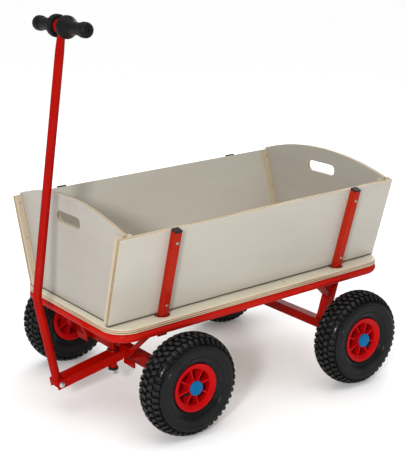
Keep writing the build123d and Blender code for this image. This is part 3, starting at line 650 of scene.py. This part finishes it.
def carcassSection():  # closed section of the tyre without its blocks: (radius, y)
    half = [stop * mm for stop in tyreShape["stops"]] + [skinLengths[-1]]
    for ring in tyreShape["rings"]:
        half += [ring + share * tyreShape["ringHalf"] for share in tyreShape["ringStops"]]
    half.sort()
    alongs = [-along for along in reversed(half[1:])] + half
    outside = [skinPoint(along, skinDrop(along), 0) for along in alongs]
    section = [(point.z, point.y) for point in outside]
    inner = [tyreShape["seatHalf"], tyreShape["seatHalf"] - tyreShape["bead"]]
    section += [(tyreShape["seatRadius"], y) for y in inner]
    hollow = [skinLengths[-1] * share for share in tyreShape["hollow"]]
    hollow += [-along for along in reversed(hollow[:-1])]
    inside = [skinPoint(along, tyreShape["wall"] + skinDrop(along), 0) for along in hollow]
    section += [(point.z, point.y) for point in inside]
    section += [(tyreShape["seatRadius"], -y) for y in reversed(inner)]
    return section


def addBlock(bm, row, index, flip):
    pitch = 2 * math.pi / tyreShape["pitches"]
    around, across, shift = tyreShape["around"], row["across"], row["shift"]
    a, b, c, d = (Vector(corner) for corner in row["corners"])
    middle = (a + b + c + d) / 4

    def point(u, v, grow, drop):
        spot = a.lerp(b, u).lerp(d.lerp(c, u), v)
        spot = middle + (spot - middle) * grow
        return bm.verts.new(skinPoint(flip * spot.y, drop, (index + shift + flip * spot.x) * pitch))

    rim = [(i / around, 0) for i in range(around)] + [(1, j / across) for j in range(across)]
    rim += [(1 - i / around, 1) for i in range(around)] + [(0, 1 - j / across) for j in range(across)]
    spots = [(i / around, j / across) for i in range(around + 1) for j in range(across + 1)]
    top = {(u, v): point(u, v, *tyreShape["draft"][0]) for u, v in spots}
    for i in range(around):
        for j in range(across):
            u, v, w, x = i / around, j / across, (i + 1) / around, (j + 1) / across
            bm.faces.new((top[u, v], top[w, v], top[w, x], top[u, x]))
    inner, outer = row["topLightEnds"]
    for (u, v), vertex in top.items():
        vertex[bm.verts.layers.float["blockTopLight"]] = inner + (outer - inner) * v
    rings = [[top[spot] for spot in rim]]
    for grow, drop in tyreShape["draft"][1:]:
        rings.append([point(u, v, grow, drop) for u, v in rim])
    for upper, lower in zip(rings, rings[1:]):
        joinRings(bm, upper, lower)
    bm.faces.new(rings[-1])


def makeTyreMesh():
    bm = bmesh.new()
    bm.verts.layers.float.new("blockTopLight")  # share of painted highlight on the block tops, read by the rubber's finish
    section = carcassSection()
    rings = []
    for turn in evenTurns(3 * tyreShape["pitches"]):
        rings.append([bm.verts.new((r * math.sin(turn), y, r * math.cos(turn))) for r, y in section])
    for step in range(len(rings)):
        joinRings(bm, rings[step - 1], rings[step])
    for number, row in enumerate(treadRows):
        for index in range(tyreShape["pitches"]):
            for flip in ((1,) if number == 0 else (1, -1)):
                addBlock(bm, row, index, flip)
    for turn in tyreShape["pips"]:
        for flip in (1, -1):
            foot = skinPoint(flip * tyreShape["pipSpot"], 0, turn)
            out = skinPoint(flip * tyreShape["pipSpot"], -mm, turn) - foot
            turnOut = out.to_track_quat("Z", "Y").to_matrix().to_4x4()
            addLathe(bm, tyreShape["pip"], tyreShape["pipSides"], Matrix.Translation(foot) @ turnOut)
    return meshFrom(bm, "blockTyre")


tyreMesh = makeTyreMesh()
for wheel in wheelNames:
    tyre = makePiece(wheel + "_block_tyre", tyreMesh.copy(), tyreRubber,
                     wheel + "_wheel", wheelPlace(wheel), tyreShape["smoothAngle"])
    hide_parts(wheel + "_tyre")
print("tyres made:", len(tyreMesh.polygons), "faces each")


# weld beads on the steelwork, in millimetres of the wagon stood level

deckHeight = 295 * mm
levelPlace = deckPlace @ Matrix.Translation((0, 0, -deckHeight))  # z counts from the ground

weldBead = {
    "radius": 1.8,
    "ripple": 3.2,  # length of one ripple
    "rippleDepth": 0.16,
    "step": 1.0,
    "sides": 8,
    "taper": (0.35, 0.3),  # thickness at an open end, and what each step adds
    "smoothAngle": 60,
}
steelwork = {
    "ringHeight": 270.5,
    "ringHalf": 222.5,
    "ringRadius": 12.5,
    "crossAhead": (313, -267),
    "crossHalf": 11,
    "crossTop": 8,  # the weld stops short of the tube's upper corners
    "crossStep": 1.5,
    "socketHalf": 13,
    "socketOut": 10,  # middle of a socket or leg, outside the face of a side
    "socketFace": (302, -278),  # where a socket or leg lies against its cross tube
    "socketWeld": (-33, -15),  # up the slope of a side
    "beamTop": 131.4,
    "beamRear": -294.5,
    "legFoot": 151.4,
    "legWeld": 13.6,
    "braceFoot": (-278, 179, 210),
    "braceFootHalf": (8, 9),
    "braceAlong": (91, 50.8, 70.5),
    "braceHead": (-200, 222.5, 270.5),
    "braceBack": 16,  # from the middle of the rail
    "braceHalf": 7.4,
    "kingpin": 313,
    "postRadius": 15,
    "postArcs": ((45, 135), (225, 315)),
    "crossUnder": 259.5,
    "gussetEnd": 84,
    "gussetTop": 258.5,
    "gussetFoot": 186,
    "gussetHalf": 2.5,
    "stopAhead": (332, 337),
    "stopKnee": (90.5, 157),
    "stopHalf": 6,
    "stopBack": 12.6,  # from the middle of the rail
    "beamFront": 293.5,
    "channelHalf": 20.4,
    "channelTop": 141.4,
    "channelFoot": 128.4,
    "channelFall": 0.1673,
    "sleeveRadius": 10.2,
    "webAtSleeve": 138.1,
    "pivot": (480, 0, 100),
    "barrelRadius": 12,
    "drawbarFootHalf": (11, 11),
    "drawbarFoot": (0.1815, 0, 0.9834),  # which way the tube leaves the barrel
    "handle": (414.5, 0, 985),
    "handleHub": 17,
    "handleNeck": (8, 11),
    "drawbarTop": (0.1642, 0, -0.9864),  # which way it leaves the handle
}


def evenPoints(path, step):
    points = [Vector(point) for point in path]
    spaced = [points[0]]
    for start, end in zip(points, points[1:]):
        count = max(1, round((end - start).length / step))
        spaced += [start.lerp(end, i / count) for i in range(1, count + 1)]
    return spaced


def addBead(bm, path, closed=False):
    points = evenPoints(path + path[:1] if closed else path, weldBead["step"])
    points = points[:-1] if closed else points
    count = len(points)
    for _ in range(2):  # rounds the corners
        points = [points[i] if not closed and i in (0, count - 1)
                  else (points[i - 1] + 2 * points[i] + points[(i + 1) % count]) / 4 for i in range(count)]
    rings = []
    side = None
    for i, point in enumerate(points):
        before = points[i - 1] if closed or i else point
        after = points[(i + 1) % count] if closed or i < count - 1 else point
        along = (after - before).normalized()
        side = (side - along * side.dot(along)).normalized() if side else along.orthogonal().normalized()
        other = along.cross(side)
        ripple = math.cos(2 * math.pi * i * weldBead["step"] / weldBead["ripple"])
        radius = weldBead["radius"] * (1 + weldBead["rippleDepth"] * ripple)
        if not closed:
            thin, gain = weldBead["taper"]
            radius *= min(1, thin + gain * min(i, count - 1 - i))
        spots = [point + radius * (math.cos(turn) * side + math.sin(turn) * other)
                 for turn in evenTurns(weldBead["sides"])]
        rings.append([bm.verts.new(levelPlace @ (spot * mm)) for spot in spots])
    pairs = list(zip(rings, rings[1:])) + ([(rings[-1], rings[0])] if closed else [])
    for here, there in pairs:
        best = min(range(len(here)), key=lambda turn: (here[0].co - there[turn].co).length)
        joinRings(bm, here, there[best:] + there[:best])
    if not closed:
        bm.faces.new(rings[0])
        bm.faces.new(rings[-1])


def circlePath(turnFrom, turnTo, point, count=36):
    turns = [math.radians(turnFrom + (turnTo - turnFrom) * i / count) for i in range(count + 1)]
    return [point(math.cos(turn), math.sin(turn)) for turn in turns]


def rectangle(half, halfHigh):
    return ((-half, -halfHigh), (half, -halfHigh), (half, halfHigh), (-half, halfHigh))


def addFrameWelds(bm):  # ring, cross tubes, sockets, legs and braces
    s = steelwork
    half, top = s["crossHalf"], s["crossTop"]
    corners = ((-half, top, 0), (-half, -half, 0), (half, -half, 0), (half, top, 0))
    outline = evenPoints(corners, s["crossStep"])
    for side in (1, -1):
        for ahead in s["crossAhead"]:
            bead = []
            for spot in outline:
                skin = s["ringHalf"] - math.sqrt(s["ringRadius"] ** 2 - spot.y ** 2)
                bead.append((ahead + spot.x, side * skin, s["ringHeight"] + spot.y))
            addBead(bm, bead)
        toLevel = levelPlace.inverted() @ sidePlace(side)
        for face in s["socketFace"]:
            for out in (s["socketOut"] - s["socketHalf"], s["socketOut"] + s["socketHalf"]):
                line = [Vector((-side * face, up, out)) for up in s["socketWeld"]]
                addBead(bm, [toLevel @ (spot * mm) / mm for spot in line])
        rear, ahead, wide = s["beamRear"], s["socketFace"][1], s["legWeld"]
        corners = ((rear, -wide), (ahead, -wide), (ahead, wide), (rear, wide))
        addBead(bm, [(x, side * (s["legFoot"] + y), s["beamTop"]) for x, y in corners])
        x, y, z = s["braceFoot"]
        addBead(bm, [(x, side * (y + out), z + up) for out, up in rectangle(*s["braceFootHalf"])], True)
        along = Vector(s["braceAlong"]).normalized()
        across = (wagonLeft - along * along.y).normalized()
        over = along.cross(across)
        middle = Vector(s["braceHead"]) - s["braceBack"] * along
        loop = [middle + a * across + b * over for a, b in rectangle(s["braceHalf"], s["braceHalf"])]
        addBead(bm, [(spot.x, side * spot.y, spot.z) for spot in loop], True)


def addPostWelds(bm):  # kingpin post, its gussets and the steering stops
    s = steelwork
    pin, radius, under = s["kingpin"], s["postRadius"], s["crossUnder"]
    for start, end in s["postArcs"]:
        addBead(bm, circlePath(start, end, lambda c, n: (pin + radius * c, radius * n, under)))
    for side in (1, -1):
        wall = side * radius
        for face in (pin - s["gussetHalf"], pin + s["gussetHalf"]):
            addBead(bm, [(face, side * s["gussetEnd"], under), (face, wall, under)])
            addBead(bm, [(face, wall, s["gussetTop"]), (face, wall, s["gussetFoot"])])
        knee, rail = Vector(s["stopKnee"]), Vector((s["ringHalf"], s["ringHeight"]))
        along = (rail - knee).normalized()
        across = Vector((-along.y, along.x)) * s["stopHalf"]
        middle = rail - s["stopBack"] * along
        near, far = s["stopAhead"]
        lower, upper = middle - across, middle + across
        loop = ((near, lower), (far, lower), (far, upper), (near, upper))
        addBead(bm, [(x, side * spot.x, spot.y) for x, spot in loop], True)


def addChannelWelds(bm):  # drawbar channel on the front beam, and the sleeve through it
    s = steelwork
    half, top, foot = s["channelHalf"], s["channelTop"], s["channelFoot"]
    saddle = ((-half, foot), (-half, top), (half, top), (half, foot))
    addBead(bm, [(s["beamFront"], y, z) for y, z in saddle])
    radius = s["sleeveRadius"]

    def onWeb(c, n):
        return s["kingpin"] + radius * c, radius * n, s["webAtSleeve"] - radius * c * s["channelFall"]

    addBead(bm, circlePath(0, 360, onWeb, 48)[:-1], True)


def addDrawbarWelds(bm):  # drawbar on its barrel, and the handle's hub on the drawbar
    s = steelwork
    joins = ((s["pivot"], s["drawbarFoot"], s["barrelRadius"], s["drawbarFootHalf"]),
             (s["handle"], s["drawbarTop"], s["handleHub"], s["handleNeck"]))
    for centre, along, radius, (deep, wide) in joins:
        along = Vector(along)
        over = wagonLeft.cross(along)

        def onRound(c, n):
            rise = math.sqrt(radius ** 2 - (deep * c) ** 2)
            return Vector(centre) + deep * c * over + wide * n * wagonLeft + rise * along

        addBead(bm, circlePath(0, 360, onRound, 60)[:-1], True)


weldRuns = {
    "frame_welds": (addFrameWelds, "chassis", redPaint),
    "post_welds": (addPostWelds, "chassis", shadedBeamPaint),
    "channel_welds": (addChannelWelds, "steering", redPaint),
    "drawbar_welds": (addDrawbarWelds, "pull_bar", shadedDrawbarPaint),
}
for name, (addWelds, body, paint) in weldRuns.items():
    beads = bmesh.new()
    addWelds(beads)
    makePiece(name, meshFrom(beads, name), paint, body, smoothAngle=weldBead["smoothAngle"])
print("weld beads laid")


# screws with a cross recess

screws = {
    "stakeAhead": (289 * mm, -291 * mm),
    "stakeUp": (34 * mm, 212 * mm),  # up the slope of a side
    "stakeFace": 20 * mm,  # outside the face of a side
    "stakeTurn": 0.7,  # each screw is driven a little further than the last
    "panHead": ((4.5, 0), (4.5, 0.5), (4.2, 1.2), (3.6, 1.8), (2.9, 2.2)),  # radius and height, in mm
    "battenAhead": (432.5 * mm, 406.5 * mm),
    "battenUp": (33 * mm, 126 * mm, 219 * mm),
    "battenFace": -20 * mm,
    "battenTurn": 0.9,
    "flatHead": ((2.6, -0.6), (2.6, 0.1), (2.4, 0.25), (2.2, 0.25)),
    "deckAhead": -98 * mm,
    "deckOut": 203 * mm,
    "deckTurn": 0.5,
    "sides": 24,
    "arm": 0.72,  # half length of a recess arm, as a share of the flat top
    "slot": 0.19,  # half its width
    "recess": 0.5,
    "recessFloor": 0.55,  # as a share of its mouth
}


def addScrewHead(bm, head, place, turn):
    profile = [(radius * mm, height * mm) for radius, height in screws[head]]
    place = place @ Matrix.Rotation(turn, 4, "Z")
    rings = addLathe(bm, profile, screws["sides"], place)
    top, height = profile[-1]
    arm, slot, depth = (top * screws[key] for key in ("arm", "slot", "recess"))
    cross = [(arm, -slot), (arm, slot), (slot, slot), (slot, arm), (-slot, arm), (-slot, slot),
             (-arm, slot), (-arm, -slot), (-slot, -slot), (-slot, -arm), (slot, -arm), (slot, -slot)]
    mouth = [bm.verts.new(place @ Vector((x, y, height))) for x, y in cross]
    small = screws["recessFloor"]
    floor = [bm.verts.new(place @ Vector((x * small, y * small, height - depth))) for x, y in cross]
    loops = [bm.edges.new((mouth[i - 1], mouth[i])) for i in range(len(cross))]
    loops += [bm.edges.get((rings[-1][i - 1], rings[-1][i])) for i in range(screws["sides"])]
    bmesh.ops.triangle_fill(bm, edges=loops, use_beauty=True)
    joinRings(bm, mouth, floor)
    bm.faces.new(floor)


for side, name in sideNames.items():
    panHeads, flatHeads = bmesh.new(), bmesh.new()
    place = sidePlace(side)
    spots = [(ahead, up) for ahead in screws["stakeAhead"] for up in screws["stakeUp"]]
    for number, (ahead, up) in enumerate(spots):
        spot = Matrix.Translation((-side * ahead, up, screws["stakeFace"]))
        addScrewHead(panHeads, "panHead", place @ spot, screws["stakeTurn"] * number)
    inward = Matrix.Rotation(math.pi, 4, "Y")
    aheads = [end * ahead for end in (1, -1) for ahead in screws["battenAhead"]]
    spots = [(ahead, up) for ahead in aheads for up in screws["battenUp"]]
    for number, (ahead, up) in enumerate(spots):
        spot = Matrix.Translation((ahead, up, screws["battenFace"])) @ inward
        addScrewHead(flatHeads, "flatHead", place @ spot, screws["battenTurn"] * number)
    body = name + "_side"
    pans = meshFrom(panHeads, "panScrews")
    stakeScrews = makePiece(name + "_cross_screws", pans, yellowZinc, body)
    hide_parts(name + "_stake_screws")
    makePiece(name + "_batten_screws", meshFrom(flatHeads, "flatScrews"), yellowZinc, body)
flatHeads = bmesh.new()
for side in (1, -1):
    spot = Matrix.Translation((screws["deckAhead"], side * screws["deckOut"], 0))
    addScrewHead(flatHeads, "flatHead", deckPlace @ spot, screws["deckTurn"])
makePiece("deck_screws", meshFrom(flatHeads, "deckScrews"), yellowZinc, "chassis")
print("screws driven in")


# kingpin, pivot bolt and their nuts

fasteners = {
    "pinRadius": 7 * mm,
    "pinSteps": 40,
    "pinTop": 172 * mm,
    "pinEnd": 75.7 * mm,
    "threadPitch": 1.75 * mm,
    "threadDepth": 0.8 * mm,
    "threadShape": (0.25, 0.6),  # where the crest ends and the root lies, as shares of the pitch
    "threadTip": 1.6,  # chamfer at the end, in depths of the thread
    "threadTop": 92 * mm,
    "nutFoot": 78.7 * mm,
    "nutHeight": 11 * mm,
    "nutCorner": 13 * mm,
    "pivotHalf": 20 * mm,  # half the channel's width
    "boltRadius": 5 * mm,
    "boltSteps": 32,
    "boltCorner": 8 * mm,
    "boltHead": 6 * mm,
    "chamfer": 0.58,  # rise per run of the chamfered corners
    "chamferFrom": 0.97,  # where they begin, as a share of the flats
    "boreLip": 0.8 * mm,
    "hexSteps": 48,
}


def addHex(bm, place, corner, height, bore=0.0):
    flat = corner * math.cos(math.pi / 6)
    start, steps = flat * fasteners["chamferFrom"], fasteners["hexSteps"]
    rise = (corner - start) * fasteners["chamfer"]
    turns = evenTurns(steps)
    outline = [flat / math.cos(turn % (math.pi / 3) - math.pi / 6) for turn in turns]
    levels = [rise * i / 3 for i in range(4)]
    levels += [height - level for level in reversed(levels)]
    sections = []
    for level in levels:
        limit = start + min(level, height - level) / fasteners["chamfer"]
        sections.append(([min(limit, reach) for reach in outline], level))
    if bore:
        lip = fasteners["boreLip"]
        sections += [([bore + lip] * steps, height), ([bore] * steps, height - lip),
                     ([bore] * steps, lip), ([bore + lip] * steps, 0)]
    rings = []
    for reaches, level in sections:
        spots = [Vector((r * math.cos(turn), r * math.sin(turn), level)) for r, turn in zip(reaches, turns)]
        rings.append([bm.verts.new(place @ spot) for spot in spots])
    pairs = list(zip(rings, rings[1:]))
    if bore:
        pairs.append((rings[-1], rings[0]))
    else:
        bm.faces.new(rings[0])
        bm.faces.new(rings[-1])
    for here, there in pairs:
        joinRings(bm, here, there)


def threaded(radius, top, end):  # profile of a threaded end, from its top down to its chamfered tip
    pitch, depth = fasteners["threadPitch"], fasteners["threadDepth"]
    crest, root = fasteners["threadShape"]
    profile = []
    level = top
    while level > end + pitch:
        profile += [(radius, level), (radius, level - crest * pitch),
                    (radius - depth, level - root * pitch)]
        level -= pitch
    return profile + [(radius - depth, level), (radius - fasteners["threadTip"] * depth, end), (0, end)]


def makeFasteners():
    f = fasteners
    pinPlace = levelPlace @ Matrix.Translation((steelwork["kingpin"] * mm, 0, 0))
    pin, nut = bmesh.new(), bmesh.new()
    radius = f["pinRadius"]
    profile = [(0, f["pinTop"]), (radius, f["pinTop"])] + threaded(radius, f["threadTop"], f["pinEnd"])
    addLathe(pin, profile, f["pinSteps"], pinPlace)
    nutPlace = pinPlace @ Matrix.Translation((0, 0, f["nutFoot"]))
    addHex(nut, nutPlace, f["nutCorner"], f["nutHeight"], radius)
    piece = makePiece("threaded_kingpin", meshFrom(pin, "kingpin"), zinc, "chassis")
    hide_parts("kingpin")
    piece = makePiece("kingpin_hex_nut", meshFrom(nut, "kingpinNut"), zinc, "chassis")
    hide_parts("kingpin_nut")
    toLeft = Matrix.Rotation(-math.pi / 2, 4, "X")  # turns z to the left
    pivotPlace = levelPlace @ Matrix.Translation(Vector(steelwork["pivot"]) * mm) @ toLeft
    bolt, nut = bmesh.new(), bmesh.new()
    radius, half = f["boltRadius"], f["pivotHalf"]
    end = -half - f["boltHead"]
    addLathe(bolt, [(0, half), (radius, half)] + threaded(radius, -half, end), f["boltSteps"], pivotPlace)
    addHex(bolt, pivotPlace @ Matrix.Translation((0, 0, half)), f["boltCorner"], f["boltHead"])
    addHex(nut, pivotPlace @ Matrix.Translation((0, 0, end)), f["boltCorner"], f["boltHead"], radius)
    piece = makePiece("pivot_hex_bolt", meshFrom(bolt, "pivotBolt"), zinc, "steering")
    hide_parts("pivot_bolt")
    piece = makePiece("pivot_hex_nut", meshFrom(nut, "pivotNut"), zinc, "steering")
    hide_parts("pivot_nut")


makeFasteners()
print("bolts and nuts made")


# rubber valves with their caps

valveStem = {
    "offset": 32 * mm,  # from the axle
    "foot": 2.5 * mm,  # face of the web
    "height": 24 * mm,
    "profile": (  # radius and height, in mm
        (6.0, -0.5), (6.0, 1.0), (5.2, 2.2), (4.5, 4.5), (4.2, 13.5), (3.5, 14.4), (3.5, 15.4), (4.2, 15.6),
        (4.2, 16.6), (3.9, 17.0), (4.2, 17.4), (4.2, 22.6), (3.7, 23.6), (2.6, 24.0), (0, 24.0),
    ),
    "lean": {  # at the cap, towards the tyre
        "front_left": -6.5 * mm,
        "front_right": 2.0 * mm,
        "rear_left": 8.0 * mm,
        "rear_right": -2.5 * mm,
    },
    "leanPower": 1.5,
    "ribs": 18,
    "ribDepth": 0.25 * mm,
}


def makeValve(wheel):
    bm = bmesh.new()
    profile = [(radius * mm, height * mm) for radius, height in valveStem["profile"]]
    rings = addLathe(bm, profile, 2 * valveStem["ribs"])
    for ring in rings[10:12]:  # grip ribs of the cap
        for vert in ring[::2]:
            vert.co.xy *= 1 - valveStem["ribDepth"] / vert.co.xy.length
    power = valveStem["leanPower"]
    bend = valveStem["lean"][wheel] / valveStem["height"] ** power
    for vert in bm.verts:
        x, y, height = vert.co
        lean = bend * max(height, 0) ** power
        vert.co = (x, height + valveStem["foot"], -y + valveStem["offset"] + lean)
    valve = makePiece(wheel + "_rubber_valve", meshFrom(bm, "valve"), blackPlastic,
                      wheel + "_wheel", wheelPlace(wheel))
    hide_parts(wheel + "_valve")


for wheel in wheelNames:
    makeValve(wheel)
print("valves fitted")


# floor, light and camera

stage = {
    "floorSize": 160.0,
    "floorPale": (0.90, 0.90, 0.90, 1),
    "floorShade": (0.88, 0.88, 0.88, 1),
    "floorFinish": {"Roughness": 0.85, "Emission Color": (1, 1, 1, 1), "Emission Strength": 0.12},
    "skyStrength": 0.45,  # as a light
    "skyShown": 1.05,  # as the plain white behind the floor
    "aim": (0, 0, 0.35),  # where the lamps point
}


def makeFloor():
    mesh = bpy.data.meshes.new("floor")
    half = stage["floorSize"] / 2
    mesh.from_pydata([(x, y, 0) for x, y in rectangle(half, half)], [], [(0, 1, 2, 3)])
    floor = newObject("floor", mesh)
    material, tree, shader, spot = startMaterial("paleFloor", **stage["floorFinish"])
    cloud = noiseOn(tree, spot, 1.5, 3)
    wire(tree, shader, Base_Color=mixColours(tree, cloud, stage["floorPale"], stage["floorShade"]))
    mesh.materials.append(material)


softboxes = {
    "key": {"from": (3.04, 2.66, 1.75), "size": 0.4, "power": 105},
    "fill": {"from": (-2.9, -2.5, 1.9), "size": 1.8, "power": 45},
}
overhead = {"from": (0.01, 0, 5), "strength": 1.7, "spread": 70}  # a wide pale ceiling, as a very soft sun


def makeLamp(name, kind, place, strength):
    light = bpy.data.lights.new(name, kind)
    light.energy = strength
    holder = newObject(name, light)
    holder.location = place
    aim = Vector(stage["aim"]) - Vector(place)
    holder.rotation_euler = aim.to_track_quat("-Z", "Y").to_euler()
    return light


def makeLights():
    for name, lamp in softboxes.items():
        light = makeLamp(name, "AREA", lamp["from"], lamp["power"])
        light.shape = "SQUARE"
        light.size = lamp["size"]
    ceiling = makeLamp("ceiling", "SUN", overhead["from"], overhead["strength"])
    ceiling.angle = math.radians(overhead["spread"])
    world = bpy.data.worlds.new("studio")
    world.use_nodes = True
    tree = world.node_tree
    sky = tree.nodes["Background"]
    sky.inputs["Color"].default_value = (1, 1, 1, 1)
    seen = tree.nodes.new("ShaderNodeLightPath").outputs["Is Camera Ray"]
    wire(tree, sky, Strength=spread(tree, seen, 0, 1, stage["skyStrength"], stage["skyShown"]))
    scene.world = world
    scene.view_settings.view_transform = "Standard"


viewpoint = {
    "eye": (1.6849, 2.2503, 1.1889),
    "azimuth": 142.718,
    "elevation": 15.241,
    "roll": 1.142,
    "focal": 1088.4,  # in pixels of the picture
    "pictureHeight": 454,
    "sensor": 36.0,
}


def makeCamera():
    data = bpy.data.cameras.new("camera")
    data.sensor_width = viewpoint["sensor"]
    data.lens = viewpoint["focal"] * viewpoint["sensor"] / viewpoint["pictureHeight"]
    camera = newObject("camera", data)
    turn = Matrix.Rotation(math.radians(viewpoint["azimuth"]), 4, "Z")
    tilt = Matrix.Rotation(math.radians(90 - viewpoint["elevation"]), 4, "X")
    roll = Matrix.Rotation(math.radians(viewpoint["roll"]), 4, "Z")
    camera.matrix_world = Matrix.Translation(viewpoint["eye"]) @ turn @ tilt @ roll
    scene.camera = camera


makeFloor()
makeLights()
makeCamera()
print("floor, lights and camera set")
